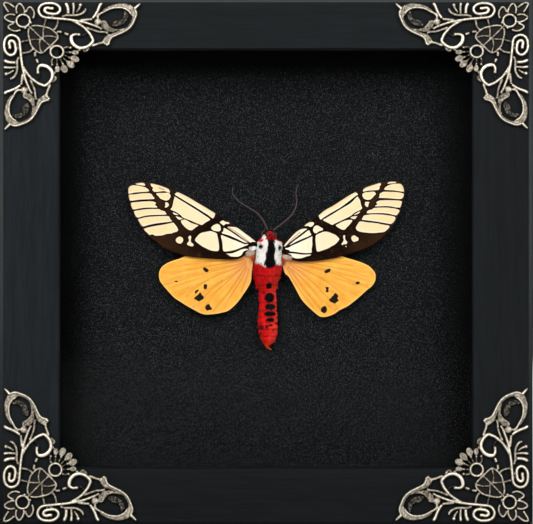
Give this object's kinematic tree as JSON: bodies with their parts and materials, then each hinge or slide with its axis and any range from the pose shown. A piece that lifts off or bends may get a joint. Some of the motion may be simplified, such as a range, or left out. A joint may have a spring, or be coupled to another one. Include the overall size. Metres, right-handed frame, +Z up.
{
  "type": "framed moth specimen",
  "caption": "Spread tiger moth with cream-and-brown forewings and amber hindwings in a black glazed shadow box with cast filigree corner ornaments.",
  "frame": {"origin": "middle of the bounding box's underside, under the bottom rail", "axes": "+Z up, -Y out of the glazed front, +X to the right as seen from the front"},
  "size_m": [0.15, 0.0326, 0.1482],
  "materials": {
    "black_wood": "black-stained open grain, satin",
    "clear_glass": "polished",
    "black_card": "matt",
    "mat_board": "black pebbled, matt",
    "hardboard": "smooth brown hardboard",
    "pewter": "antiqued cast pewter, dark in the recesses",
    "zinc_steel": "zinc plated",
    "moth_fur": "scarlet, white and black hair",
    "forewing_scales": "cream cells in a dark brown network",
    "hindwing_scales": "amber with dark spots",
    "antenna_brown": "dull brown"
  },
  "bodies": {
    "root": {"frame_top_rail": "black_wood", "frame_bottom_rail": "black_wood", "frame_left_stile": "black_wood", "frame_right_stile": "black_wood", "glass_pane": "clear_glass", "spacer_left": "black_card", "spacer_right": "black_card", "spacer_top": "black_card", "spacer_bottom": "black_card", "backing_mat": "mat_board", "back_panel": "hardboard", "turn_button_left_upper": "zinc_steel", "turn_button_left_lower": "zinc_steel", "turn_button_right_upper": "zinc_steel", "turn_button_right_lower": "zinc_steel", "screw_left_upper": "zinc_steel", "screw_left_lower": "zinc_steel", "screw_right_upper": "zinc_steel", "screw_right_lower": "zinc_steel", "sawtooth_hanger": "zinc_steel", "hanger_nail_left": "zinc_steel", "hanger_nail_right": "zinc_steel", "corner_ornament_top_left": "pewter", "corner_ornament_top_right": "pewter", "corner_ornament_bottom_left": "pewter", "corner_ornament_bottom_right": "pewter", "moth_body": "moth_fur", "antenna_left": "antenna_brown", "antenna_right": "antenna_brown", "forewing_left": "forewing_scales", "forewing_right": "forewing_scales", "hindwing_left": "hindwing_scales", "hindwing_right": "hindwing_scales"}
  },
  "joints": []
}
